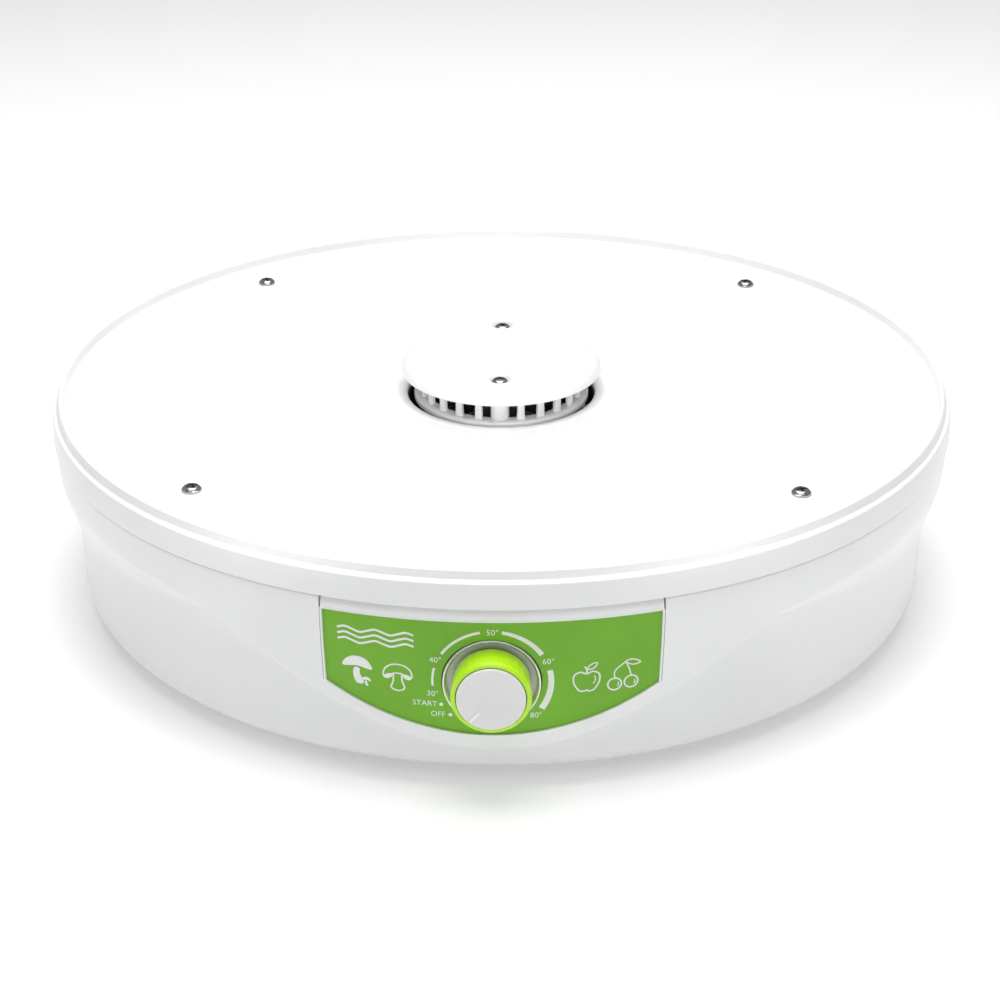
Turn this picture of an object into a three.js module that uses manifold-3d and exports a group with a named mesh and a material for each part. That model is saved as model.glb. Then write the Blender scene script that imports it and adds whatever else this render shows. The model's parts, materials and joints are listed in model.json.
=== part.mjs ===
// Base unit of a round food dehydrator: a fan and a heater in a low drum that blow warm air
// up through the middle of the trays standing on it.
// Millimetres, +Z up, front (control panel) towards -Y. The origin is the centre of the
// underside of the housing floor; the feet reach 4 mm below it.
import * as THREE from 'three';
import { mergeVertices } from 'three/addons/utils/BufferGeometryUtils.js';
import Module from 'manifold-3d';

const wasm = await Module();
wasm.setup();

// ---- driving dimensions ----
const rimRadius = 195; // outer edge of the tray ledge
const ledgeHeight = 86; // tray ledge above the floor's underside
const wall = 2.5; // moulded shell thickness
const gap = 0.3; // clearance between neighbouring pieces

// screws and feet stand on circles round the axis, at angles from the front
const coverScrewCircle = 168;
const coverScrewAngles = [45, 135, 225, 315];
const footCircle = 146;
const footAngles = [0, 90, 180, 270];
const footHeight = 4;

// top cover
const plateHeight = ledgeHeight - 0.6;
const beadHeight = ledgeHeight + 3.9;
const bandBottom = ledgeHeight - 10.5;
const bandRadius = rimRadius + 0.8;
const dishRadius = 64; // where the central dish starts to fall
const outletRadius = 41.4; // hole in the middle of the dish
const outletHeight = ledgeHeight - 6.8;
const outletEdge = 45.5; // where the rounded rim of that hole meets the dish

// lower housing
const housingTop = bandBottom - gap;
const upperRadius = rimRadius; // wall below the band
const lowerRadius = 187.8; // set-back wall near the floor
const apronFoot = 11.7; // lower edge of the upper wall in the middle of the front
const shoulderFoot = 51.7; // the same edge beside the control panel
const flankFoot = 37.3; // the same edge along the sides and the back
const apronHalfAngle = 34;
const floorCorner = 10;
const lipRadius = rimRadius - 3.1; // raised lip that centres the cover
const lipHeight = 3.4;
const intakeSlots = 16;
const intakeCircle = 52;
const intakeLength = 32;
const intakeWidth = 8;

// control panel
const panelHalfAngle = 18.8;
const panelTop = 70;
const panelFoot = 20.5;
const panelFootArc = 118; // radius of the arc that closes the panel below
const panelRecess = 1.5;

// dial and thermostat, on a horizontal axis that points to the front
const knobHeight = 44.1; // dial axis above the floor's underside
const dialFace = rimRadius - 3; // front of the dish round the knob, from the drum's axis
const pointerAngle = 140; // the knob's pointer from straight up, at rest on OFF
const tabFoot = knobHeight - 24; // lower end of the thermostat's two tabs

// outlet cap and grille
const capRadius = 44;
const capFoot = ledgeHeight + 3.3;
const capTop = ledgeHeight + 11.7;
const capScrewRadius = 32;
const grilleRadius = 36;
const grillePitch = 15;

// fan, motor and heater, on the vertical axis
const ductRadius = 41;
const ductFoot = 47;
const ductTop = outletHeight - wall - gap;
const ductScrewCircle = 58;
const ductScrewAngles = [60, 180, 300];
const stackFoot = 18;
const stackTop = 34;
const rotorRadius = 13.2;
const shaftRadius = 2.5;
const motorScrewX = 24;

// mains connection, at the back
const inletHeight = 20;
const clampY = 158;
const clampScrewX = 11;
const terminalX = -45;
const terminalY = 138;

const degree = Math.PI / 180;

// ---- materials ----
const finish = (color, roughness, metalness = 0) =>
  new THREE.MeshStandardMaterial({ color, roughness, metalness });
const white = finish(0xf4f5f4, 0.35);
const innerWhite = finish(0xe9ebe8, 0.5);
const green = finish(0x6d9a35, 0.4);
const lime = finish(0xa6df08, 0.3);
const pearl = finish(0xdcdcdc, 0.35);
const dishGrey = finish(0x9aa08c, 0.35, 0.3);
const chrome = finish(0xc8c9cb, 0.15, 1);
const zinc = finish(0xb4b6b8, 0.35, 1);
const stackSteel = finish(0x8a8c90, 0.45, 1);
const brass = finish(0xc79a4b, 0.3, 1);
const copper = finish(0xb0622e, 0.35, 0.8);
const rubber = finish(0x2a2a2b, 0.85);
const mica = finish(0xb9a888, 0.6);
const blackPlastic = finish(0x1d1e20, 0.5);
const leadBlue = finish(0x2a5fa5, 0.5);
const leadBrown = finish(0x6b3d20, 0.5);

// ---- solids: building, joining and cutting ----
const solid = (geometry) => {
  const bare = geometry.clone();
  bare.deleteAttribute('normal');
  bare.deleteAttribute('uv');
  const merged = mergeVertices(bare, 1e-4);
  const vertProperties = new Float32Array(merged.attributes.position.array);
  const triVerts = new Uint32Array(merged.index.array);
  return new wasm.Manifold(new wasm.Mesh({ numProp: 3, vertProperties, triVerts }));
};

const geometryOf = (body) => {
  const { vertProperties, triVerts } = body.getMesh();
  const geometry = new THREE.BufferGeometry();
  geometry.setAttribute('position', new THREE.BufferAttribute(vertProperties, 3));
  geometry.setIndex(new THREE.BufferAttribute(triVerts, 1));
  geometry.computeVertexNormals();
  return geometry;
};

const joined = (first, ...others) =>
  geometryOf(others.reduce((body, other) => body.add(solid(other)), solid(first)));

const cut = (base, ...tools) =>
  geometryOf(tools.reduce((body, tool) => body.subtract(solid(tool)), solid(base)));

const object = new THREE.Group();

const part = (name, geometry, material) => {
  const mesh = new THREE.Mesh(geometry, material);
  mesh.name = name;
  object.add(mesh);
  return mesh;
};

// ---- basic shapes in the object's frame ----
const polar = (radius, angle, z = 0) =>
  new THREE.Vector3(radius * Math.sin(angle * degree), -radius * Math.cos(angle * degree), z);

const lathe = (outline, segments = 32) =>
  new THREE.LatheGeometry(outline.map(([r, z]) => new THREE.Vector2(r, z)), segments)
    .rotateX(Math.PI / 2);

const ring = (inner, outer, low, high, segments = 32) =>
  lathe([[inner, low], [outer, low], [outer, high], [inner, high], [inner, low]], segments);

const post = (radius, low, high, x = 0, y = 0, segments = 16) =>
  new THREE.CylinderGeometry(radius, radius, high - low, segments)
    .rotateX(Math.PI / 2)
    .translate(x, y, (low + high) / 2);

const block = (sizeX, sizeY, low, high, x = 0, y = 0) =>
  new THREE.BoxGeometry(sizeX, sizeY, high - low).translate(x, y, (low + high) / 2);

// The dial's pieces lie along a horizontal axis; their outlines give the distance from the
// object's own vertical axis instead of a height.
const aboutDial = (geometry) => geometry.rotateX(Math.PI / 2).translate(0, 0, knobHeight);

const extruded = (points, depth) => {
  const shape = new THREE.Shape(points.map(([x, y]) => new THREE.Vector2(x, y)));
  return new THREE.ExtrudeGeometry(shape, { depth, bevelEnabled: false });
};

const tube = (points, radius, steps, sides = 8) => {
  const section = new THREE.Shape();
  section.absarc(0, 0, radius, 0, 2 * Math.PI);
  return new THREE.ExtrudeGeometry(section, {
    steps,
    curveSegments: sides / 2,
    extrudePath: new THREE.CatmullRomCurve3(points),
  });
};

// The same upright post at several places round the axis.
const postsAt = (circle, angles, radius, low, high, segments = 16) =>
  angles.map((angle) => {
    const { x, y } = polar(circle, angle);
    return post(radius, low, high, x, y, segments);
  });

// A screw standing on seat and pointing down: a pan head and a plain pointed shank.
const panScrew = (seat, headRadius, headHeight, shankRadius, length, segments = 8) =>
  lathe([
    [0, seat - length],
    [shankRadius, seat - length + shankRadius],
    [shankRadius, seat],
    [headRadius, seat],
    [headRadius, seat + headHeight * 0.45],
    [headRadius * 0.7, seat + headHeight],
    [0, seat + headHeight],
  ], segments);

// ---- the drum's outer form ----
const smooth = (value, low, high) => THREE.MathUtils.smoothstep(value, low, high);

// Angle from the front, 0 to 180 degrees either way.
const fromFront = (angle) => Math.abs(((angle + 180) % 360) - 180);

// The upper wall's lower edge: level at the sides, higher beside the panel, and a rounded
// apron that hangs down in front.
const edgeHeight = (angle) => {
  const side = fromFront(angle);
  const base = THREE.MathUtils.lerp(shoulderFoot, flankFoot, smooth(side, 36, 80));
  if (side >= apronHalfAngle) return base;
  const swell = (1 + Math.cos((Math.PI * side) / apronHalfAngle)) / 2;
  return base - (shoulderFoot - apronFoot) * swell ** 0.62;
};

// Height of the slope between the two walls: a crisp step under the apron, a long easy
// slope at the sides.
const slopeHeight = (angle) => THREE.MathUtils.lerp(3.5, 22, smooth(fromFront(angle), 20, 80));

// The upper wall draws in slightly towards the apron's foot.
const upperWall = (z) => upperRadius - 3 * (1 - smooth(z, apronFoot - 6, 66));

const cornerSteps = 3;

const housingProfile = (angle) => {
  const edge = edgeHeight(angle);
  const slope = slopeHeight(angle);
  const rows = [];
  for (let step = 0; step <= cornerSteps; step += 1) {
    const turn = (Math.PI / 2) * (step / cornerSteps);
    rows.push([
      lowerRadius - floorCorner * (1 - Math.sin(turn)),
      floorCorner * (1 - Math.cos(turn)),
    ]);
  }
  for (const rise of [0, 0.5, 1]) {
    const z = edge + slope * rise;
    const out = rise * 0.5 + smooth(rise, 0, 1) * 0.5;
    rows.push([THREE.MathUtils.lerp(lowerRadius, upperWall(z), out), z]);
  }
  const middle = (edge + slope + housingTop - 4) / 2;
  rows.push([upperWall(middle), middle]);
  rows.push([upperRadius, housingTop - 4]);
  return rows;
};

// Columns every 3 degrees round the front and every 8 elsewhere.
const columnAngles = [];
for (let angle = 0; angle < 36; angle += 3) columnAngles.push(angle);
for (let angle = 36; angle < 324; angle += 8) columnAngles.push(angle);
for (let angle = 324; angle <= 360; angle += 3) columnAngles.push(angle);

// A closed shell whose section changes with the angle.
const loft = (sectionAt, angles) => {
  const sections = angles.map(sectionAt);
  const rows = sections[0].length;
  const shell = lathe(sections[0], angles.length - 1);
  const places = shell.attributes.position;
  sections.forEach((section, column) => {
    const angle = column === angles.length - 1 ? angles[0] : angles[column];
    section.forEach(([radius, z], row) => {
      const at = polar(radius, angle, z);
      places.setXYZ(column * rows + row, at.x, at.y, at.z);
    });
  });
  return shell;
};

const shellSection = (angle) => {
  const outside = housingProfile(angle);
  const inside = outside.map(([r, z]) => [r - wall, Math.max(z, wall)]).reverse();
  return [
    [0, 0],
    ...outside,
    [upperRadius - 1.4, housingTop],
    [lipRadius, housingTop],
    [lipRadius, housingTop + lipHeight],
    [lipRadius - 2.1, housingTop + lipHeight],
    ...inside,
    [0, wall],
  ];
};

// A curved plate following the drum: a bent box between two heights and two radii.
const bentPlate = (halfAngle, foot, top, innerAt, outerAt) => {
  const columns = Math.ceil(halfAngle / 2);
  const plate = new THREE.BoxGeometry(2, 1, 1, columns, 1, 3);
  const places = plate.attributes.position;
  for (let index = 0; index < places.count; index += 1) {
    const angle = places.getX(index) * halfAngle;
    const z = THREE.MathUtils.lerp(foot(angle), top, places.getZ(index) + 0.5);
    const radius = places.getY(index) < 0 ? outerAt(z) : innerAt(z);
    const at = polar(radius, angle, z);
    places.setXYZ(index, at.x, at.y, at.z);
  }
  return plate;
};

// Lower edge of the panel: an arc that bulges downwards.
const panelEdge = (angle, drop = 0) => {
  const along = (upperRadius - panelRecess) * angle * degree;
  return panelFoot - drop + panelFootArc - Math.sqrt(panelFootArc ** 2 - along ** 2);
};

// ---- casing ----
function makeTopCover() {
  const slope = [0.3, 0.7].map((share) => [
    THREE.MathUtils.lerp(outletEdge, dishRadius, share),
    THREE.MathUtils.lerp(outletHeight + 0.4, plateHeight, smooth(share, 0, 1)),
  ]);
  const above = [
    [outletRadius, outletHeight],
    [outletEdge, outletHeight + 0.4],
    ...slope,
    [dishRadius, plateHeight],
    [rimRadius - 6.2, plateHeight],
    [rimRadius - 4.6, plateHeight + 1.4],
    [rimRadius - 4.2, beadHeight],
    [rimRadius - 2.6, beadHeight],
    [rimRadius - 2.2, ledgeHeight],
    [rimRadius - 0.8, ledgeHeight],
    [rimRadius, ledgeHeight - 1],
    [bandRadius, bandBottom],
  ];
  const below = [
    [outletRadius, outletHeight - wall],
    [outletEdge + 0.3, outletHeight + 0.4 - wall],
    [dishRadius + 0.6, plateHeight - wall],
    [rimRadius - 2.6, plateHeight - wall],
    [bandRadius - wall, bandBottom],
  ];
  const plate = lathe([...below, ...above.reverse(), below[0]], 60);
  const bosses = postsAt(ductScrewCircle, ductScrewAngles, 4, ductTop, outletHeight + 2);
  const holes = [
    ...postsAt(ductScrewCircle, ductScrewAngles, 1.8, ductTop - 1, outletHeight - 0.5, 10),
    ...postsAt(coverScrewCircle, coverScrewAngles, 2.5, plateHeight - 5, plateHeight + 5, 12),
  ];
  part('top_cover', cut(joined(plate, ...bosses), ...holes), white);
}

function makeLowerHousing() {
  const shell = loft(shellSection, columnAngles);
  const motorPosts = [-motorScrewX, motorScrewX];
  const clampPosts = [-clampScrewX, clampScrewX];
  const posts = [
    ...postsAt(coverScrewCircle, coverScrewAngles, 4.5, wall - 1, plateHeight - wall - gap),
    ...motorPosts.map((x) => post(4.5, wall - 1, stackFoot - 1.5 - gap, x, 0)),
    ...clampPosts.map((x) => post(4, wall - 1, inletHeight - gap, x, clampY)),
  ];
  const pilots = [
    ...postsAt(coverScrewCircle, coverScrewAngles, 2.3, plateHeight - 24, plateHeight, 12),
    ...motorPosts.map((x) => post(2.2, wall + 1.5, stackFoot, x, 0, 12)),
    ...clampPosts.map((x) => post(1.8, 8, inletHeight + 1, x, clampY, 10)),
  ];
  const slots = [];
  for (let slot = 0; slot < intakeSlots; slot += 1) {
    const opening = block(intakeWidth, intakeLength, -2, wall + 2, 0, -intakeCircle);
    slots.push(opening.rotateZ((2 * Math.PI * slot) / intakeSlots));
  }
  const footHoles = postsAt(footCircle, footAngles, 3.3, -2, wall + 2, 12);
  const inlet = new THREE.CylinderGeometry(6.4, 6.4, 20, 16).translate(0, lowerRadius, inletHeight);
  const panelOpening = bentPlate(
    panelHalfAngle + 0.1,
    (angle) => panelEdge(angle, 0.1),
    housingTop + lipHeight + 1.6,
    () => upperRadius - 12,
    () => upperRadius + 3,
  );
  const openings = [...pilots, ...slots, ...footHoles, inlet, panelOpening];
  part('lower_housing', cut(joined(shell, ...posts), ...openings), white);
}

function makeFeet() {
  footAngles.forEach((angle, index) => {
    const { x, y } = polar(footCircle, angle);
    const foot = lathe([
      [0, -footHeight],
      [8.2, -footHeight],
      [9, -footHeight + 0.8],
      [9, -gap],
      [3, -gap],
      [3, wall + gap],
      [4.2, wall + gap],
      [3, wall + 3],
      [0, wall + 3],
    ], 12).translate(x, y, 0);
    part(`rubber_foot_${index + 1}`, foot, rubber);
  });
}

function makeCoverScrews() {
  coverScrewAngles.forEach((angle, index) => {
    const { x, y } = polar(coverScrewCircle, angle);
    const screw = panScrew(plateHeight + 0.1, 4, 2.3, 2, 16, 12).translate(x, y, 0);
    part(`cover_screw_${index + 1}`, screw, chrome);
  });
}

// ---- control panel and dial ----
function makeControlPanel() {
  const half = panelHalfAngle - 0.1;
  const foot = (angle) => panelEdge(angle, -0.2);
  const carrier = joined(
    bentPlate(half, foot, housingTop, (z) => upperWall(z) - panelRecess - wall,
      (z) => upperWall(z) - panelRecess),
    bentPlate(half, () => panelTop + 0.4, housingTop,
      (z) => upperWall(z) - panelRecess - 1, (z) => upperWall(z)),
  );
  const dialHole = aboutDial(post(18.5, dialFace - 12, dialFace + 8, 0, 0, 24));
  part('control_panel_frame', cut(carrier, dialHole), white);
  const label = bentPlate(half, foot, panelTop, (z) => upperWall(z) - panelRecess + 0.1,
    (z) => upperWall(z) - panelRecess + 0.7);
  part('control_label', cut(label, dialHole), green);
}

function makeDial() {
  const dish = aboutDial(lathe([
    [5.2, dialFace - 4.4],
    [17.9, dialFace - 4.4],
    [17.9, dialFace],
    [13.2, dialFace],
    [12.6, dialFace - 2.2],
    [5.2, dialFace - 2.2],
    [5.2, dialFace - 4.4],
  ], 24));
  part('dial_dish', dish, dishGrey);
  const bezel = aboutDial(lathe([
    [16.8, dialFace + gap],
    [18.1, dialFace + gap],
    [18.1, dialFace + 2],
    [17.7, dialFace + 2.4],
    [16.8, dialFace + 1.6],
    [16.8, dialFace + gap],
  ], 24));
  part('dial_bezel', bezel, chrome);
  const knobFront = dialFace + 12.9;
  const knob = aboutDial(lathe([
    [3.3, dialFace + 5],
    [11, dialFace + 5],
    [12, dialFace + 1.2],
    [14.3, dialFace + 1.2],
    [14.85, knobFront - 0.9],
    [14.2, knobFront],
    [13, knobFront],
    [13, knobFront - 3.1],
    [3.3, knobFront - 3.1],
    [3.3, dialFace + 5],
  ], 24));
  part('knob_body', knob, lime);
  const capFront = knobFront + 1.1;
  const cap = aboutDial(lathe([
    [0, capFront - 3.9],
    [12.7, capFront - 3.9],
    [12.7, capFront - 0.7],
    [12.3, capFront - 0.2],
    [0, capFront],
  ], 24));
  const pointer = new THREE.BoxGeometry(1.1, 1, 5.9)
    .translate(0, -capFront, 9.4)
    .rotateY(-pointerAngle * degree)
    .translate(0, 0, knobHeight);
  part('knob_cap', cut(cap, pointer), pearl);
}

function makeThermostat() {
  const box = new THREE.BoxGeometry(32, 18, 28).translate(0, 25 - dialFace, knobHeight);
  const bushing = aboutDial(post(4.8, dialFace - 17, dialFace + 0.6, 0, 0, 20));
  const bore = aboutDial(post(3.3, dialFace - 15, dialFace + 2, 0, 0, 20));
  part('thermostat', cut(joined(box, bushing), bore), innerWhite);
  const spindle = aboutDial(post(3, dialFace - 14.6, dialFace + 9.4, 0, 0, 20));
  part('thermostat_spindle', spindle, brass);
  const nut = aboutDial(post(7.5, dialFace - 1.9, dialFace + gap, 0, 0, 6));
  const nutBore = aboutDial(post(5.1, dialFace - 4, dialFace + 2));
  part('thermostat_nut', cut(nut, nutBore), zinc);
  [-8, 8].forEach((x, index) => {
    const tab = block(5, 1, tabFoot, knobHeight - 14.3, x, 27 - dialFace);
    part(`thermostat_tab_${index + 1}`, tab, brass);
  });
}

// ---- air outlet ----
function makeOutletGrille() {
  const foot = outletHeight - wall;
  const base = ring(32, 38.6, foot, outletHeight + 0.3, 36);
  const crown = ring(32.5, grilleRadius - 0.2, capFoot + 0.6, capFoot + 2.4, 36);
  let body = solid(base).add(solid(crown));
  for (let index = 0; index < 360 / grillePitch; index += 1) {
    const isBoss = index % (180 / grillePitch) === 0;
    const bar = isBoss
      ? post(4, foot, capFoot + 2.4, 0, -capScrewRadius, 12)
      : block(3.3, 3.2, outletHeight - 0.5, capFoot + 1, 0, 1.6 - grilleRadius);
    body = body.add(solid(bar.rotateZ(index * grillePitch * degree)));
  }
  for (const y of [-capScrewRadius, capScrewRadius]) {
    body = body.subtract(solid(post(2.1, foot - 1, capFoot + 4, 0, y, 12)));
  }
  part('outlet_grille', geometryOf(body), white);
}

function makeOutletCap() {
  const shoulder = 6.5;
  const outline = [[0, capTop - 2.4], [35, capTop - 2.6], [41.6, capFoot + 2.4], [41.6, capFoot]];
  outline.push([capRadius - 0.4, capFoot]);
  for (let step = 0; step <= 4; step += 1) {
    const turn = (Math.PI / 2) * (step / 4);
    outline.push([
      capRadius - shoulder * (1 - Math.cos(turn)),
      capTop - 0.5 - shoulder * (1 - Math.sin(turn)),
    ]);
  }
  outline.push([0, capTop]);
  let body = solid(lathe(outline, 40));
  for (const y of [-capScrewRadius, capScrewRadius]) {
    body = body.add(solid(post(4.5, capFoot + 2.7, capTop - 2, 0, y)));
    body = body.subtract(solid(post(2.1, capFoot, capTop + 2, 0, y, 12)));
    body = body.subtract(solid(post(4.6, capTop - 1.5, capTop + 2, 0, y)));
  }
  part('outlet_cap', geometryOf(body), white);
  [-capScrewRadius, capScrewRadius].forEach((y, index) => {
    const screw = panScrew(capTop - 1.4, 3.6, 2, 1.8, 26, 12).translate(0, y, 0);
    part(`cap_screw_${index + 1}`, screw, chrome);
  });
}

// ---- duct and heater ----
const heaterAngles = [45, 135];
const heaterFoot = 60;
const heaterTop = 73;
const pinAngles = [75, 105];
const pinHeight = 66;

function makeDuct() {
  let body = solid(ring(ductRadius, ductRadius + 2, ductFoot, ductTop, 36));
  for (const angle of ductScrewAngles) {
    const ear = block(10, 22, ductTop - 3, ductTop, 0, 6 - ductScrewCircle);
    const { x, y } = polar(ductScrewCircle, angle);
    const hole = post(2.1, ductTop - 6, ductTop + 2, x, y, 12);
    body = body.add(solid(ear.rotateZ(angle * degree))).subtract(solid(hole));
  }
  for (const y of [-1, 1]) {
    const lug = block(9, 14, ductTop - 6, ductTop, 0, y * 35);
    body = body.add(solid(lug));
    body = body.subtract(solid(post(2.1, ductTop - 8, ductTop + 1, 0, y * capScrewRadius, 12)));
  }
  for (const angle of pinAngles) {
    const hole = new THREE.CylinderGeometry(2, 2, 12, 12).translate(0, -ductRadius - 1, pinHeight);
    body = body.subtract(solid(hole.rotateZ(angle * degree)));
  }
  part('air_duct', geometryOf(body), blackPlastic);
  ductScrewAngles.forEach((angle, index) => {
    const { x, y } = polar(ductScrewCircle, angle);
    const screw = panScrew(0, 3.2, 1.8, 1.5, 5).rotateX(Math.PI).translate(x, y, ductTop - 3.1);
    part(`duct_screw_${index + 1}`, screw, zinc);
  });
}

// Two mica plates cross on the axis; their shoulders rest in the duct and the wire is wound
// round them below.
function makeHeater() {
  const half = 27;
  const reach = ductRadius - 0.7;
  const shoulder = heaterTop - 3;
  const outline = [
    [-half, heaterFoot],
    [half, heaterFoot],
    [half, shoulder],
    [reach, shoulder],
    [reach, heaterTop],
    [-reach, heaterTop],
    [-reach, shoulder],
    [-half, shoulder],
  ];
  const plates = heaterAngles.map((angle) =>
    extruded(outline, 1).translate(0, 0, -0.5).rotateX(Math.PI / 2).rotateZ(angle * degree));
  part('heater_frame', joined(...plates), mica);
  const turns = 4;
  const stepsPerTurn = 14;
  const helix = [];
  for (let step = 0; step <= turns * stepsPerTurn; step += 1) {
    const share = step / (turns * stepsPerTurn);
    helix.push(polar(half + 1.4, 110 + 360 * turns * share, heaterFoot + 1.2 + 7.2 * share));
  }
  part('heater_coil', tube(helix, 0.7, turns * stepsPerTurn, 4), stackSteel);
  pinAngles.forEach((angle, index) => {
    const pin = new THREE.CylinderGeometry(1.5, 1.5, 17, 12).translate(0, -38.5, pinHeight);
    part(`heater_pin_${index + 1}`, pin.rotateZ(angle * degree), brass);
  });
  const fuse = new THREE.CylinderGeometry(2, 2, 12, 12).translate(3, -14, pinHeight);
  part('thermal_fuse', fuse.rotateZ(heaterAngles[0] * degree), zinc);
}

// ---- fan ----
function makeImpeller() {
  const bladeCount = 7;
  const bladePitch = 52;
  const hubFoot = ductFoot + 2;
  const bore = post(shaftRadius + gap, hubFoot - 9, hubFoot + 7);
  const blade = new THREE.BoxGeometry(1.4, 28, 11)
    .rotateY(bladePitch * degree)
    .translate(0, -23, hubFoot + 4.5);
  let body = solid(cut(post(10, hubFoot, hubFoot + 9, 0, 0, 24), bore));
  for (let index = 0; index < bladeCount; index += 1) {
    const turned = blade.clone().rotateZ((index * 2 * Math.PI) / bladeCount);
    body = body.add(solid(turned).subtract(solid(bore)));
  }
  part('impeller', geometryOf(body), blackPlastic);
}

function makeMotor() {
  const outline = [[-28, -22], [28, -22], [28, 46], [-28, 46]];
  const stack = extruded(outline, stackTop - stackFoot).translate(0, 0, stackFoot);
  const window = block(37, 11, 0, 60, 0, 30.5);
  const rotorBore = post(rotorRadius + 0.5, 0, 60, 0, 0, 32);
  const bolts = [-motorScrewX, motorScrewX].map((x) => post(2.3, 0, 60, x, 0, 12));
  part('stator_stack', cut(stack, window, rotorBore, ...bolts), stackSteel);
  const coilY = 41; // the stack's far limb, which the coil wraps
  const coil = cut(
    block(30, 29, stackFoot - 9, stackTop + 9, 0, coilY),
    block(40, 10.8, stackFoot - gap, stackTop + gap, 0, coilY),
  );
  part('stator_coil', coil, copper);
  const shaftHole = post(shaftRadius + gap, 0, 60);
  const rotor = post(rotorRadius, stackFoot - 1.5, stackTop + 1.5, 0, 0, 32);
  part('motor_rotor', cut(rotor, shaftHole), zinc);
  part('motor_shaft', post(shaftRadius, 7, ductFoot + 8.5), zinc);
  const side = [
    [-28, 0], [-17, 0], [-15, 5], [15, 5], [17, 0], [28, 0],
    [28, 1.5], [18, 1.5], [16, 6.5], [-16, 6.5], [-18, 1.5], [-28, 1.5],
  ];
  const strip = extruded(side, 16).translate(0, 0, -8).rotateX(Math.PI / 2);
  const bracket = cut(strip, post(5.3, -5, 12), ...bolts);
  const bush = cut(post(5, 0, 5), shaftHole);
  const upper = stackTop + gap;
  const lower = stackFoot - gap;
  part('motor_bracket_upper', bracket.clone().translate(0, 0, upper), zinc);
  part('motor_bracket_lower', bracket.clone().rotateX(Math.PI).translate(0, 0, lower), zinc);
  part('motor_bush_upper', bush.clone().translate(0, 0, upper + 3.5), brass);
  part('motor_bush_lower', bush.clone().translate(0, 0, lower - 8.5), brass);
  [-motorScrewX, motorScrewX].forEach((x, index) => {
    const seat = upper + 1.5 + 0.1;
    part(`motor_screw_${index + 1}`, panScrew(seat, 3.6, 2.2, 1.9, 30).translate(x, 0, 0), zinc);
  });
}

// ---- mains connection ----
function makeMainsInlet() {
  const seat = lowerRadius + 0.4;
  const gland = lathe([
    [4.1, seat - 5.2],
    [6, seat - 5.2],
    [6, seat],
    [8.5, seat],
    [8.5, seat + 2.2],
    [7.5, seat + 3.2],
    [4.1, seat + 3.2],
    [4.1, seat - 5.2],
  ], 20).rotateX(-Math.PI / 2).translate(0, 0, inletHeight);
  part('cord_gland', gland, blackPlastic);
  const clampTop = inletHeight + 6;
  const clamp = block(32, 9, inletHeight, clampTop, 0, clampY);
  const groove = new THREE.CylinderGeometry(4, 4, 20, 16).translate(0, clampY, inletHeight);
  const screwXs = [-clampScrewX, clampScrewX];
  const holes = screwXs.map((x) => post(1.9, inletHeight - 5, clampTop + 4, x, clampY, 10));
  part('cord_clamp', cut(clamp, groove, ...holes), innerWhite);
  screwXs.forEach((x, index) => {
    const screw = panScrew(clampTop + 0.1, 3, 2, 1.5, 14).translate(x, clampY, 0);
    part(`clamp_screw_${index + 1}`, screw, zinc);
  });
  const body = block(32, 18, wall + gap, 18, terminalX, terminalY);
  const wells = [-10, 0, 10].map((x) => post(3, 12, 30, terminalX + x, terminalY, 12));
  part('terminal_block', cut(body, ...wells), innerWhite);
}

function makeLeads() {
  const routes = {
    lead_live: {
      material: leadBrown,
      points: [[-55, 127.6, 10], [-60, 110, 8], [-95, 75, 7], [-112, 10, 7], [-95, -70, 9],
        [-50, -125, 12], [-12, -156, 14.5], [-8, -165, tabFoot - 1.6]],
    },
    lead_switched: {
      material: leadBrown,
      points: [[8, -165, tabFoot - 1.6], [16, -150, 13], [60, -95, 12], [74, -40, 20], [68, -18, 48],
        [47.5, -12.7, 66]],
    },
    lead_heater: {
      material: leadBlue,
      points: [[-35, 127.6, 10], [-28, 112, 8], [20, 95, 8], [66, 60, 20], [66, 22, 50],
        [47.5, 12.7, 66]],
    },
    lead_motor: {
      material: leadBlue,
      points: [[-45, 127.6, 10], [-42, 105, 9], [-14, 78, 14], [0, 57.4, 26]],
    },
  };
  for (const [name, { material, points }] of Object.entries(routes)) {
    const path = points.map(([x, y, z]) => new THREE.Vector3(x, y, z));
    part(name, tube(path, 1.2, points.length * 4, 6), material);
  }
}

makeTopCover();
makeLowerHousing();
makeFeet();
makeCoverScrews();
makeControlPanel();
makeDial();
makeThermostat();
makeOutletGrille();
makeOutletCap();
makeDuct();
makeHeater();
makeImpeller();
makeMotor();
makeMainsInlet();
makeLeads();

export default object;
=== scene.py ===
"""Looks of the food dehydrator's base unit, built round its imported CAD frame.

Blender works in metres here; outlines are written in millimetres, in the frame's own axes
(+Z up, front towards -Y, origin under the middle of the floor), and scaled by the builders.
"""

import json
import math

import bmesh
import bpy
from mathutils import Matrix, Vector


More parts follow.
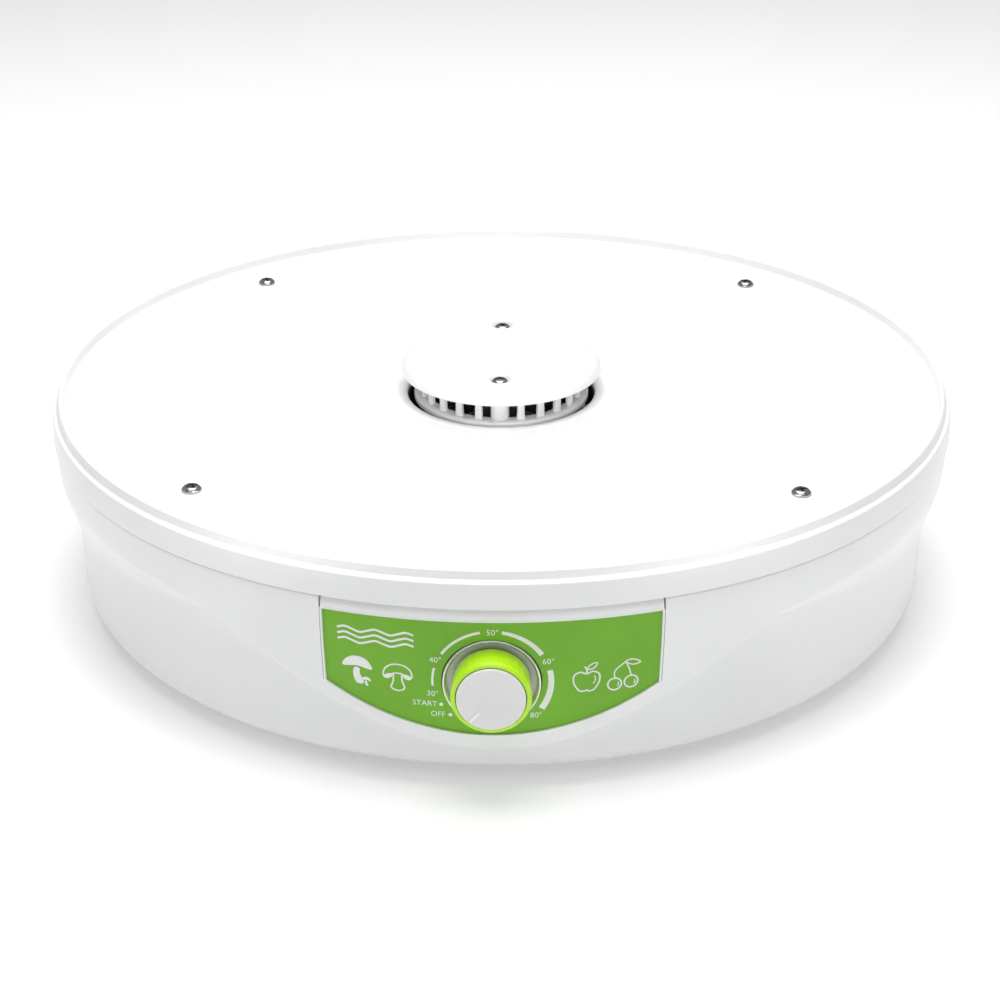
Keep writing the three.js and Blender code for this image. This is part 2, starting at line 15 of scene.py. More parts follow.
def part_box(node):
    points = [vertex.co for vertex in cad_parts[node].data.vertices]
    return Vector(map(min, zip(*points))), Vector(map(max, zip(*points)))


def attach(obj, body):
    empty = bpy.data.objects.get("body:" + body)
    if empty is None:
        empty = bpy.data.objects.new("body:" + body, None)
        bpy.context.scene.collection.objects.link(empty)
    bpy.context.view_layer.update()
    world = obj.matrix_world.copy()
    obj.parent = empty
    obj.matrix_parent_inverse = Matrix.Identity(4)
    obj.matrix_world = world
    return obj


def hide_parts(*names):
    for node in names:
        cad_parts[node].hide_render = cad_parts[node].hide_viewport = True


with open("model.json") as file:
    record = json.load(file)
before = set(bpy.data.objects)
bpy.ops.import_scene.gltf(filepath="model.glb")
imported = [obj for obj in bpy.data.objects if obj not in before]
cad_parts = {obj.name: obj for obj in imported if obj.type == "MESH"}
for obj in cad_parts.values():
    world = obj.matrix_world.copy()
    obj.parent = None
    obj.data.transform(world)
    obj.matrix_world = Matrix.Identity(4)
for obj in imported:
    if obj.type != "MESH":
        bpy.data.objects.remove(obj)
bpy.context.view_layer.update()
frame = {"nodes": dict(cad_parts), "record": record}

MM = 0.001

# ---------------------------------------------------------------- sizes from the frame, in mm


def edges_of(node):
    """Lowest and highest corner of a CAD node, in millimetres."""
    low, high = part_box(node)
    return Vector(low) / MM, Vector(high) / MM


COVER_HIGH = edges_of("top_cover")[1]
LABEL_HIGH = edges_of("control_label")[1]
KNOB_LOW, KNOB_HIGH = edges_of("knob_body")
CAP_LOW, CAP_HIGH = edges_of("outlet_cap")
FOOT_LOW, FOOT_HIGH = edges_of("rubber_foot_1")
DUCT_TOP = edges_of("air_duct")[1].z

# top cover
WALL = 2.5
BAND_RADIUS = COVER_HIGH.x
RIM_RADIUS = BAND_RADIUS - 0.8
BEAD_RADIUS = 191.5
BEAD_TOP = COVER_HIGH.z
LEDGE = BEAD_TOP - 3.9
PLATE = LEDGE - 0.6
BAND_FOOT = LEDGE - 10.5
DISH_RADIUS = 64
OUTLET_RADIUS = 41.4
OUTLET_RIM = LEDGE - 6.8
COVER_SCREW_CIRCLE = 168
COVER_SCREW_ANGLES = (45, 135, 225, 315)
DUCT_SCREW_CIRCLE = 58
DUCT_SCREW_ANGLES = (60, 180, 300)

# lower housing
HOUSING_TOP = BAND_FOOT - 0.35
UPPER_RADIUS = RIM_RADIUS
LOWER_RADIUS = UPPER_RADIUS - 7.2
BROW = 0.9
SPIGOT_RADIUS = 191.9
SPIGOT_RISE = 3.4
APRON_FOOT = 11.7
APRON_HALF_ANGLE = 34
SHOULDER_FOOT = 51.7
FLANK_FOOT = 37.3
FLOOR_CORNER = 10
POST_RADIUS = 4.5
MOTOR_SCREW_X = 24
MOTOR_POST_TOP = 16.2
CLAMP_SCREW_X = 11
CLAMP_Y = 158
CLAMP_POST_TOP = 19.7
INTAKE_SLOTS = 16
INTAKE_START = 36
INTAKE_END = 68
INTAKE_HALF_WIDTH = 4
FOOT_CIRCLE = 146
FOOT_ANGLES = (0, 90, 180, 270)
INLET_HEIGHT = 20
INLET_RADIUS = 6.4

# control panel and its printed label
PANEL_HALF_ANGLE = 18.8
PANEL_TOP = LABEL_HIGH.z
PANEL_FOOT = 20.5
PANEL_ARC = 118
PANEL_RECESS = 1.5
LABEL_PROUD = 0.7
LABEL_LIP = 0.11
SCALE_RADIUS = 21.4

# dial: distances in front of the drum's axis are fronts and backs
DIAL_HEIGHT = (KNOB_LOW.z + KNOB_HIGH.z) / 2
DIAL_HOLE_RADIUS = 18.5
CUP_BACK = 187.6
CUP_FLOOR = 189.8
CUP_FRONT = 192
CUP_RADIUS = 17.9
BEZEL_BORE = 16.8
BEZEL_RADIUS = 18.1
KNOB_RADIUS = (KNOB_HIGH.z - KNOB_LOW.z) / 2
KNOB_BACK = -KNOB_HIGH.y
KNOB_FRONT = -KNOB_LOW.y
SPINDLE_BORE = 3.3
DISC_SEAT_RADIUS = 13
DISC_RADIUS = 12.7
DISC_BACK = -edges_of("knob_cap")[1].y
DISC_FRONT = -edges_of("knob_cap")[0].y
POINTER_ANGLE = 140

# outlet
CAP_RADIUS = CAP_HIGH.x
CAP_FOOT = CAP_LOW.z
CAP_TOP = CAP_HIGH.z
CAP_SHOULDER = 9.5
CAP_SCREW_RADIUS = 32
GRILLE_RADIUS = 36
GRILLE_BORE = 32
GRILLE_FLANGE = 38.6
GRILLE_BARS = 24

# ---------------------------------------------------------------- geometry helpers


def smoothstep(value, low, high):
    share = min(max((value - low) / (high - low), 0), 1)
    return share * share * (3 - 2 * share)


def mix(first, second, share):
    return first + (second - first) * share


def polar(radius, angle, z=0.0):
    """A point at an angle in degrees from the front, positive towards +X."""
    turn = math.radians(angle)
    return Vector((radius * math.sin(turn), -radius * math.cos(turn), z))


def moved(x, y, z=0.0):
    return Matrix.Translation((x, y, z))


def turned(angle):
    """A turn about the Z axis, in degrees."""
    return Matrix.Rotation(math.radians(angle), 4, "Z")


# Frames for shapes drawn upright and then laid along the dial's axis, or along the cord
# inlet's: their height becomes the distance in front of, or behind, the drum's axis.
DIAL_FRAME = moved(0, 0, DIAL_HEIGHT) @ Matrix.Rotation(math.pi / 2, 4, "X")
INLET_FRAME = moved(0, 0, INLET_HEIGHT) @ Matrix.Rotation(-math.pi / 2, 4, "X")


def rounded(outline, steps=5):
    """Points of a closed outline of (x, y, fillet) corners, with an arc at each filleted one."""
    points = []
    count = len(outline)
    for index, (x, y, fillet) in enumerate(outline):
        corner = Vector((x, y))
        if fillet == 0:
            points.append(corner)
            continue
        before = Vector(outline[index - 1][:2]) - corner
        after = Vector(outline[(index + 1) % count][:2]) - corner
        half = before.angle(after) / 2
        reach = min(fillet / math.tan(half), 0.48 * before.length, 0.48 * after.length)
        towards = (before.normalized() + after.normalized()).normalized()
        radius = reach * math.tan(half)
        centre = corner + towards * math.hypot(reach, radius)
        start = (corner + before.normalized() * reach - centre).normalized()
        end = (corner + after.normalized() * reach - centre).normalized()
        points += [centre + radius * start.slerp(end, step / steps) for step in range(steps + 1)]
    return points


def mesh_piece(name, vertices, faces, place=Matrix()):
    """A linked object from millimetre vertices, with its faces pointing outwards."""
    mesh = bpy.data.meshes.new(name)
    mesh.from_pydata([(place @ Vector(v)) * MM for v in vertices], [], faces)
    shape = bmesh.new()
    shape.from_mesh(mesh)
    bmesh.ops.recalc_face_normals(shape, faces=shape.faces)
    shape.to_mesh(mesh)
    shape.free()
    piece = bpy.data.objects.new(name, mesh)
    bpy.context.scene.collection.objects.link(piece)
    return piece


def revolve(name, outline, segments=128, place=Matrix(), steps=5):
    """A closed turned solid from a closed outline of (radius, height, fillet) corners."""
    vertices, rows = [], []
    for radius, height in rounded(outline, steps):
        if radius < 1e-6:
            rows.append([len(vertices)] * segments)
            vertices.append((0, 0, height))
            continue
        rows.append(list(range(len(vertices), len(vertices) + segments)))
        for step in range(segments):
            turn = 2 * math.pi * step / segments
            vertices.append((radius * math.cos(turn), radius * math.sin(turn), height))
    faces = []
    for index, low in enumerate(rows):
        high = rows[(index + 1) % len(rows)]
        for step in range(segments):
            following = (step + 1) % segments
            face = [low[step], low[following], high[following], high[step]]
            unique = list(dict.fromkeys(face))
            if len(unique) > 2:
                faces.append(unique)
    return mesh_piece(name, vertices, faces, place)


def prism(name, outline, low, high, place=Matrix(), steps=5):
    """A closed outline of (x, y, fillet) corners, extruded upwards from low to high."""
    points = rounded(outline, steps)
    count = len(points)
    vertices = [(x, y, z) for z in (low, high) for x, y in points]
    faces = [list(range(count)), list(range(count, 2 * count))]
    for index in range(count):
        following = (index + 1) % count
        faces.append([index, following, count + following, count + index])
    return mesh_piece(name, vertices, faces, place)


def rectangle(low_x, low_y, high_x, high_y, fillet=0.0):
    corners = ((low_x, low_y), (high_x, low_y), (high_x, high_y), (low_x, high_y))
    return [(x, y, fillet) for x, y in corners]


def carve(piece, tools, operation="DIFFERENCE"):
    """Cuts or joins the tools into the piece, and removes them."""
    for tool in tools:
        modifier = piece.modifiers.new("carve", "BOOLEAN")
        modifier.operation = operation
        modifier.solver = "MANIFOLD"
        modifier.object = tool
    bpy.context.view_layer.update()
    graph = bpy.context.evaluated_depsgraph_get()
    result = bpy.data.meshes.new_from_object(piece.evaluated_get(graph))
    piece.modifiers.clear()
    piece.data = result
    for tool in tools:
        bpy.data.objects.remove(tool)
    return piece


def merged(name, pieces):
    """One object holding the meshes of several, which are removed."""
    shape = bmesh.new()
    for piece in pieces:
        piece.data.transform(piece.matrix_world)
        shape.from_mesh(piece.data)
    mesh = bpy.data.meshes.new(name)
    shape.to_mesh(mesh)
    shape.free()
    for piece in pieces:
        bpy.data.objects.remove(piece)
    result = bpy.data.objects.new(name, mesh)
    bpy.context.scene.collection.objects.link(result)
    return result


def column(name, radius, low, high, place=Matrix(), segments=24):
    """A plain upright cylinder, for joining and cutting."""
    outline = [(0, low, 0), (radius, low, 0), (radius, high, 0), (0, high, 0)]
    return revolve(name, outline, segments, place)


def shade(piece, material, angle=32):
    """Smooth faces that stay crisp where they meet at more than the angle."""
    mesh = piece.data
    mesh.polygons.foreach_set("use_smooth", [True] * len(mesh.polygons))
    mesh.set_sharp_from_angle(angle=math.radians(angle))
    mesh.materials.clear()
    mesh.materials.append(material)
    return piece


def show(piece, material, body="base", replaces=(), angle=32):
    """Finishes a piece: its material, the body it rides on and the CAD nodes it stands for."""
    shade(piece, material, angle)
    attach(piece, body)
    if replaces:
        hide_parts(*replaces)
    return piece


# ---------------------------------------------------------------- materials


def noise(tree, scale, detail, stretch=(1, 1, 1)):
    """A noise pattern that stays with the object."""
    place = tree.nodes.new("ShaderNodeTexCoord")
    mapping = tree.nodes.new("ShaderNodeMapping")
    mapping.inputs["Scale"].default_value = stretch
    texture = tree.nodes.new("ShaderNodeTexNoise")
    texture.inputs["Scale"].default_value = scale
    texture.inputs["Detail"].default_value = detail
    tree.links.new(place.outputs["Object"], mapping.inputs["Vector"])
    tree.links.new(mapping.outputs["Vector"], texture.inputs["Vector"])
    return texture.outputs["Fac"]


def spread(tree, source, from_min, from_max, to_min, to_max):
    """The source, mapped from one span of values to another."""
    node = tree.nodes.new("ShaderNodeMapRange")
    node.inputs["From Min"].default_value = from_min
    node.inputs["From Max"].default_value = from_max
    node.inputs["To Min"].default_value = to_min
    node.inputs["To Max"].default_value = to_max
    tree.links.new(source, node.inputs["Value"])
    return node.outputs["Result"]


def drift_and_hollow_shade(tree, light, dark, patch):
    """Soft patches between the two colours, with painted shade that darkens the hollows."""
    drift = spread(tree, noise(tree, patch, 4), 0.35, 0.65, 0, 1)
    # painted shade: concave places, where pointiness is low, take more of the dark colour
    pointiness = tree.nodes.new("ShaderNodeNewGeometry").outputs["Pointiness"]
    painted_hollow_shade = spread(tree, pointiness, 0.42, 0.5, 0.6, 1)
    share = tree.nodes.new("ShaderNodeMath")
    share.operation = "MULTIPLY"
    tree.links.new(drift, share.inputs[0])
    tree.links.new(painted_hollow_shade, share.inputs[1])
    colour = tree.nodes.new("ShaderNodeMix")
    colour.data_type = "RGBA"
    colour.inputs[6].default_value = (*dark, 1)
    colour.inputs[7].default_value = (*light, 1)
    tree.links.new(share.outputs[0], colour.inputs[0])
    return colour.outputs[2]


def moulded_grain(tree, grain, bump):
    """A fine relief in the surface."""
    relief = tree.nodes.new("ShaderNodeBump")
    relief.inputs["Strength"].default_value = bump
    relief.inputs["Distance"].default_value = 0.0004
    tree.links.new(noise(tree, grain, 2), relief.inputs["Height"])
    return relief.outputs["Normal"]


def surface(name, light, dark, roughness, patch=9.0, grain=2200.0, bump=0.03, **sockets):
    """A principled material with drifting colour and painted shade in its hollows, uneven gloss, and
    a fine moulded grain.
    """
    material = bpy.data.materials.new(name)
    material.use_nodes = True
    tree = material.node_tree
    shader = tree.nodes["Principled BSDF"]
    for socket, value in sockets.items():
        shader.inputs[socket.replace("_", " ")].default_value = value
    gloss = spread(tree, noise(tree, 70, 5, (1, 1, 3)), 0, 1, roughness * 0.85, roughness * 1.2)
    # base colour: random drifting tone plus painted shade in the hollows
    tree.links.new(drift_and_hollow_shade(tree, light, dark, patch), shader.inputs["Base Color"])
    tree.links.new(gloss, shader.inputs["Roughness"])
    tree.links.new(moulded_grain(tree, grain, bump), shader.inputs["Normal"])
    return material


WHITE = surface("white_gloss", (0.86, 0.865, 0.87), (0.80, 0.805, 0.81), 0.3, bump=0.025,
                Coat_Weight=0.12, Coat_Roughness=0.12)
INNER = surface("inner_plastic", (0.72, 0.73, 0.70), (0.62, 0.63, 0.60), 0.5, bump=0.08)
GREEN = surface("label_green", (0.175, 0.455, 0.018), (0.155, 0.415, 0.015), 0.36, patch=25,
                grain=3500, bump=0.04, Specular_IOR_Level=0.35)
PRINT = surface("label_print", (0.84, 0.85, 0.83), (0.78, 0.80, 0.77), 0.45, patch=200, bump=0.02)
LIME = surface("lime_gloss", (0.50, 0.87, 0.005), (0.46, 0.82, 0.004), 0.27, patch=40, bump=0.02,
               Coat_Weight=0.2, Coat_Roughness=0.1)
PEARL = surface("pearl_satin", (0.78, 0.78, 0.785), (0.73, 0.73, 0.735), 0.38, patch=60,
                grain=3000, bump=0.05)
DISH_GREY = surface("dish_silver", (0.56, 0.58, 0.54), (0.50, 0.52, 0.48), 0.33, patch=80,
                    bump=0.05, Metallic=0.15)
POINTER_WHITE = surface("pointer_white", (0.9, 0.9, 0.9), (0.86, 0.86, 0.86), 0.35, patch=200,
                        bump=0.02)
BEZEL_SILVER = surface("bezel_silver", (0.80, 0.80, 0.78), (0.66, 0.66, 0.64), 0.28, patch=150,
                       grain=4000, bump=0.05, Metallic=0.8)
BRIGHT = surface("bright_metal", (0.50, 0.50, 0.51), (0.34, 0.34, 0.35), 0.2, patch=400,
                 grain=5000, bump=0.05, Metallic=1.0)
ZINC = surface("zinc_steel", (0.66, 0.67, 0.68), (0.50, 0.51, 0.53), 0.34, patch=160,
               grain=3000, bump=0.12, Metallic=1.0)
LAMINATED = surface("lamination_steel", (0.38, 0.39, 0.41), (0.25, 0.26, 0.28), 0.42, patch=120,
                    grain=1800, bump=0.25, Metallic=0.9)
BRASS = surface("brass", (0.72, 0.50, 0.20), (0.55, 0.36, 0.13), 0.3, patch=200, bump=0.08,
                Metallic=1.0)
WINDING = surface("winding", (0.50, 0.18, 0.05), (0.36, 0.11, 0.03), 0.35, patch=200, grain=1600,
                  bump=0.2, Metallic=0.6)
RUBBER = surface("rubber", (0.035, 0.035, 0.037), (0.018, 0.018, 0.02), 0.8, patch=90,
                 grain=1500, bump=0.2)
MICA = surface("mica", (0.13, 0.105, 0.075), (0.08, 0.062, 0.042), 0.5, patch=180, grain=900,
               bump=0.2)
BLACK = surface("black_plastic", (0.022, 0.022, 0.024), (0.012, 0.012, 0.013), 0.5, patch=60,
                bump=0.1)
BLUE = surface("blue_lead", (0.05, 0.14, 0.42), (0.03, 0.09, 0.30), 0.45, patch=150, bump=0.05)
BROWN = surface("brown_lead", (0.16, 0.06, 0.03), (0.10, 0.035, 0.015), 0.45, patch=150,
                bump=0.05)

SLOT_MATERIALS = {
    "white_plastic": WHITE,
    "inner_plastic": INNER,
    "green_label": GREEN,
    "lime_plastic": LIME,
    "pearl_plastic": PEARL,
    "dish_plastic": DISH_GREY,
    "bright_metal": BRIGHT,
    "zinc_steel": ZINC,
    "lamination_steel": LAMINATED,
    "brass": BRASS,
    "winding": WINDING,
    "rubber": RUBBER,
    "mica": MICA,
    "black_plastic": BLACK,
    "blue_lead": BLUE,
    "brown_lead": BROWN,
}


def dress_frame():
    """Gives every CAD node the procedural material of its slot."""
    for row in frame["record"]["subparts"]:
        node = frame["nodes"][row["node"]]
        node.data.materials.clear()
        node.data.materials.append(SLOT_MATERIALS[row["material_slot"]])


# ---------------------------------------------------------------- casing


def make_cover():
    """Top cover: plate with a falling dish, a rim bead, a tray ledge and the outer band."""
    underside = [
        (OUTLET_RADIUS, OUTLET_RIM - WALL, 0.4),
        (OUTLET_RADIUS + 4.4, OUTLET_RIM - WALL + 0.4, 2),
        (DISH_RADIUS + 0.6, PLATE - WALL, 6),
        (BAND_RADIUS - WALL - 1, PLATE - WALL, 1.2),
    ]
    band = [
        (BAND_RADIUS - WALL, BAND_FOOT, 0.3),
        (BAND_RADIUS, BAND_FOOT, 0.4),
        (RIM_RADIUS, LEDGE, 1.3),
    ]
    bead = [
        (BEAD_RADIUS + 1.5, LEDGE, 0.9),
        (BEAD_RADIUS + 0.7, BEAD_TOP, 1.3),
        (BEAD_RADIUS - 0.8, BEAD_TOP, 1.2),
        (BEAD_RADIUS - 1.4, PLATE, 1.4),
    ]
    dish = [
        (DISH_RADIUS, PLATE, 14),
        (OUTLET_RADIUS + 6.1, OUTLET_RIM + 0.5, 5),
        (OUTLET_RADIUS + 4.2, OUTLET_RIM + 0.5, 1.2),
        (OUTLET_RADIUS, OUTLET_RIM, 1.4),
    ]
    cover = revolve("cover_shell", underside + band + bead + dish, 288, steps=7)
    spots = [polar(DUCT_SCREW_CIRCLE, angle).xy for angle in DUCT_SCREW_ANGLES]
    bosses = [column("boss", 4, DUCT_TOP, OUTLET_RIM + 2, moved(*spot)) for spot in spots]
    carve(cover, [merged("bosses", bosses)], "UNION")
    show(cover, WHITE, replaces=["top_cover"])


def off_front(angle):
    """How far an angle is from the front, on either side, in degrees."""
    return abs((angle + 180) % 360 - 180)


def edge_height(angle):
    """Lower edge of the drum's upper wall at an angle from the front."""
    side = off_front(angle)
    base = mix(SHOULDER_FOOT, FLANK_FOOT, smoothstep(side, 36, 80))
    if side >= APRON_HALF_ANGLE:
        return base
    swell = (1 + math.cos(math.pi * side / APRON_HALF_ANGLE)) / 2
    return base - (SHOULDER_FOOT - APRON_FOOT) * swell**0.62


def slope_height(angle):
    """Height of the slope from the set-back foot out to the upper wall."""
    side = off_front(angle)
    return mix(3.5, 22, smoothstep(side, 24, 84))


def upper_wall(z):
    """Radius of the upper wall, which draws in towards the apron's foot."""
    return UPPER_RADIUS - 3 * (1 - smoothstep(z, APRON_FOOT - 6, 66))


def soft_ramp(place, low_soft, high_soft):
    """Rises from 0 to 1 as the place does, with its two corners rounded off."""
    return (math.hypot(place, low_soft) - math.hypot(place - 1, high_soft) + 1) / 2


def wall_radius(angle, z):
    """Radius of the housing's outer wall: set-back foot, slope, and upper wall."""
    side = off_front(angle)
    edge, slope = edge_height(angle), slope_height(angle)
    foot_soft = mix(0.5, 4.5, smoothstep(side, 24, 75)) / slope
    brow_soft = mix(0.6, 5, smoothstep(side, 30, 80)) / slope
    share = soft_ramp((z - edge) / slope, foot_soft, brow_soft)
    return mix(LOWER_RADIUS, upper_wall(z), share)


def arc(centre_x, centre_y, radius_x, radius_y, start, end, steps=6):
    """Points on an elliptic arc, with its angles in degrees."""
    turns = [math.radians(mix(start, end, step / steps)) for step in range(steps + 1)]
    return [(centre_x + radius_x * math.cos(t), centre_y + radius_y * math.sin(t)) for t in turns]


def housing_section(angle):
    """The housing wall's closed section at an angle, always with the same number of points."""
    edge, slope = edge_height(angle), slope_height(angle)
    corner = min(FLOOR_CORNER, edge - slope * 0.25)
    top = HOUSING_TOP - BROW
    crease = [edge + slope * step / 12 for step in range(-2, 19)]
    below = [mix(corner, crease[0], step / 4) for step in range(1, 4)]
    above = [mix(crease[-1], top, step / 6) for step in range(1, 6)]
    wall = [(wall_radius(angle, z), z) for z in below + crease + above]
    outside = [
        (0, 0),
        *arc(LOWER_RADIUS - FLOOR_CORNER, corner, FLOOR_CORNER, corner, -90, 0),
        *wall,
        *arc(UPPER_RADIUS - BROW, top, BROW, BROW, 0, 90),
    ]
    spigot_top = HOUSING_TOP + SPIGOT_RISE
    spigot = [
        (SPIGOT_RADIUS, HOUSING_TOP),
        (SPIGOT_RADIUS, spigot_top),
        (SPIGOT_RADIUS - 2.1, spigot_top),
    ]
    inside = [(radius - WALL, max(z, WALL)) for radius, z in reversed(wall[::3])]
    return outside + spigot + inside + [(LOWER_RADIUS - WALL - 4, WALL), (0, WALL)]


def loft(name, section_at, columns):
    """A closed shell whose section changes round the drum's axis."""
    vertices, rings = [], []
    for step in range(columns):
        angle = 360 * step / columns
        section = section_at(angle)
        ring_indices = []
        for radius, height in section:
            if radius < 1e-6 and rings:
                ring_indices.append(rings[0][len(ring_indices)])
                continue
            ring_indices.append(len(vertices))
            vertices.append(polar(radius, angle, height))
        rings.append(ring_indices)
    faces = []
    for step, ring in enumerate(rings):
        following = rings[(step + 1) % columns]
        for row in range(len(ring) - 1):
            face = [ring[row], following[row], following[row + 1], ring[row + 1]]
            unique = list(dict.fromkeys(face))
            if len(unique) > 2:
                faces.append(unique)
    return mesh_piece(name, vertices, faces)


def bent_plate(name, half_angle, foot_at, top_at, inner_at, outer_at, columns, rows):
    """A closed curved plate that follows the drum between two heights and two radii."""
    vertices, faces = [], []

    def index(layer, column, row):
        return (layer * (columns + 1) + column) * (rows + 1) + row

    for radius_at in (outer_at, inner_at):
        for step in range(columns + 1):
            angle = mix(-half_angle, half_angle, step / columns)
            for row in range(rows + 1):
                z = mix(foot_at(angle), top_at(angle), row / rows)
                vertices.append(polar(radius_at(z), angle, z))
    for step in range(columns):
        for row in range(rows):
            for layer in (0, 1):
                faces.append([index(layer, step, row), index(layer, step + 1, row),
                              index(layer, step + 1, row + 1), index(layer, step, row + 1)])
        for row in (0, rows):
            faces.append([index(0, step, row), index(0, step + 1, row),
                          index(1, step + 1, row), index(1, step, row)])
    for row in range(rows):
        for step in (0, columns):
            faces.append([index(0, step, row), index(0, step, row + 1),
                          index(1, step, row + 1), index(1, step, row)])
    return mesh_piece(name, vertices, faces)


def panel_edge(angle, drop=0.0):
    """Lower edge of the control panel: an arc that bulges downwards."""
    along = (UPPER_RADIUS - PANEL_RECESS) * math.radians(angle)
    return PANEL_FOOT - drop + PANEL_ARC - math.sqrt(PANEL_ARC**2 - along**2)


def housing_posts():
    """Screw posts on the housing's floor: for the cover, the motor and the cord clamp."""
    cover_spots = [polar(COVER_SCREW_CIRCLE, angle).xy for angle in COVER_SCREW_ANGLES]
    spots = [(POST_RADIUS, PLATE - WALL - 0.3, x, y) for x, y in cover_spots]
    spots += [(POST_RADIUS, MOTOR_POST_TOP, side * MOTOR_SCREW_X, 0) for side in (-1, 1)]
    spots += [(POST_RADIUS - 0.5, CLAMP_POST_TOP, side * CLAMP_SCREW_X, CLAMP_Y) for side in (-1, 1)]
    return [column("post", radius, WALL - 1, top, moved(x, y)) for radius, top, x, y in spots]


def housing_openings():
    """Intake slots, foot holes, the cord inlet and the control panel's place."""
    low, high = -2, WALL + 2
    slot = rectangle(-INTAKE_HALF_WIDTH, -INTAKE_END, INTAKE_HALF_WIDTH, -INTAKE_START,
                     INTAKE_HALF_WIDTH - 0.1)
    openings = [prism("slot", slot, low, high, turned(360 * step / INTAKE_SLOTS))
                for step in range(INTAKE_SLOTS)]
    foot_spots = [polar(FOOT_CIRCLE, angle).xy for angle in FOOT_ANGLES]
    openings += [column("foot_hole", 3.3, low, high, moved(*spot)) for spot in foot_spots]
    openings.append(column("inlet", INLET_RADIUS, 178, 196, INLET_FRAME, 48))
    openings.append(bent_plate("panel_hole", PANEL_HALF_ANGLE + 0.1, lambda a: panel_edge(a, 0.1),
                               lambda a: HOUSING_TOP + 6, lambda z: UPPER_RADIUS - 12,
                               lambda z: UPPER_RADIUS + 4, 60, 3))
    return openings


def make_housing():
    """Lower housing: set-back foot, shoulder slope, hanging apron, floor slots and posts."""
    housing = loft("housing_shell", housing_section, 288)
    carve(housing, [merged("posts", housing_posts())], "UNION")
    carve(housing, [merged("openings", housing_openings())])
    show(housing, WHITE, replaces=["lower_housing"])


# ---------------------------------------------------------------- control panel


def label_radius(z):
    """Radius of the label's face."""
    return upper_wall(z) - PANEL_RECESS + LABEL_PROUD


def dial_hole():
    return column("dial_hole", DIAL_HOLE_RADIUS, 178, 200, DIAL_FRAME, 96)


def panel_floor(z):
    """Radius of the shallow recess that the label lies in."""
    return upper_wall(z) - PANEL_RECESS


def strip_face(z):
    """Radius of the strip above the label, which rolls inwards under the cover's band."""
    return upper_wall(z) - max(0, z - HOUSING_TOP + 3) ** 2 / 6


def make_insert(half):
    """The white insert, with its raised strip above the label and the dial's hole."""
    insert = bent_plate("panel_insert", half, lambda a: panel_edge(a, -0.2), lambda a: HOUSING_TOP,
                        lambda z: panel_floor(z) - WALL, panel_floor, 72, 24)
    strip = bent_plate("strip", half, lambda a: PANEL_TOP + 0.4, lambda a: HOUSING_TOP - 0.05,
                       lambda z: panel_floor(z) - 1, strip_face, 72, 8)
    carve(insert, [strip], "UNION")
    carve(insert, [dial_hole()])
    show(insert, WHITE, replaces=["control_panel_frame"])


def make_label_rim(half):
    """The thin white lip round the label."""
    rim = bent_plate("label_rim", half + LABEL_LIP, lambda a: panel_edge(a, 0.15),
                     lambda a: PANEL_TOP + 0.5, lambda z: panel_floor(z) + 0.1,
                     lambda z: upper_wall(z) + 0.1, 96, 40)
    window = bent_plate("label_window", half - LABEL_LIP, lambda a: panel_edge(a, -0.4),
                        lambda a: PANEL_TOP + 0.1, lambda z: label_radius(z) - 3,
                        lambda z: label_radius(z) + 3, 96, 4)
    carve(rim, [window])
    show(rim, WHITE)


def make_label(half):
    """The green label, just inside its lip."""
    label = bent_plate("printed_label", half - LABEL_LIP - 0.01, lambda a: panel_edge(a, -0.43),
                       lambda a: PANEL_TOP + 0.07, lambda z: panel_floor(z) + 0.1,
                       label_radius, 96, 40)
    carve(label, [dial_hole()])
    show(label, GREEN, replaces=["control_label"])


def make_panel():
    half = PANEL_HALF_ANGLE - 0.1
    make_insert(half)
    make_label_rim(half)
    make_label(half)


def on_label(x, z, lift):
    """A point of the print: x runs along the curved label from its middle line."""
    radius = label_radius(z) + lift
    return polar(radius, math.degrees(x / label_radius(z)), z)


def printed(name, curves, thickness=0.12):
    """Lays flat curve objects, drawn in millimetres, on the curved label as thin ink."""
    shape = bmesh.new()
    graph = bpy.context.evaluated_depsgraph_get()
    for curve in curves:
        flat = bpy.data.meshes.new_from_object(curve.evaluated_get(graph))
        flat.transform(curve.matrix_world)
        shape.from_mesh(flat)
        bpy.data.meshes.remove(flat)
        bpy.data.objects.remove(curve)
    bmesh.ops.remove_doubles(shape, verts=shape.verts, dist=0.002)
    bmesh.ops.triangulate(shape, faces=shape.faces)
    for _ in range(3):
        long_edges = [edge for edge in shape.edges if edge.calc_length() > 2.5]
        if not long_edges:
            break
        bmesh.ops.subdivide_edges(shape, edges=long_edges, cuts=1)
        bmesh.ops.triangulate(shape, faces=[f for f in shape.faces if len(f.verts) > 3])
    for vertex in shape.verts:
        x, z, lift = vertex.co
        vertex.co = on_label(x, z, thickness * (1 if lift > 0 else -0.4)) * MM
    bmesh.ops.recalc_face_normals(shape, faces=shape.faces)
    mesh = bpy.data.meshes.new(name)
    shape.to_mesh(mesh)
    shape.free()
    piece = bpy.data.objects.new(name, mesh)
    bpy.context.scene.collection.objects.link(piece)
    return show(piece, PRINT)


def flat_curve(name, loops):
    """A filled flat shape from closed loops of (x, z) points; inner loops become holes."""
    data = bpy.data.curves.new(name, "CURVE")
    data.dimensions = "2D"
    data.fill_mode = "BOTH"
    data.extrude = 0.05
    for loop in loops:
        spline = data.splines.new("POLY")
        spline.points.add(len(loop) - 1)
        for point, (x, z) in zip(spline.points, loop):
            point.co = (x, z, 0, 1)
        spline.use_cyclic_u = True
    curve = bpy.data.objects.new(name, data)
    bpy.context.scene.collection.objects.link(curve)
    return curve


def flat_text(text, x, z, height):
    """Plain lettering centred on a point."""
    data = bpy.data.curves.new("text", "FONT")
    data.body = text
    data.size = height * 1.38
    data.align_x = "CENTER"
    data.align_y = "CENTER"
    data.resolution_u = 3
    data.extrude = 0.05
    curve = bpy.data.objects.new("text", data)
    curve.location = (x, z, 0)
    bpy.context.scene.collection.objects.link(curve)
    return curve


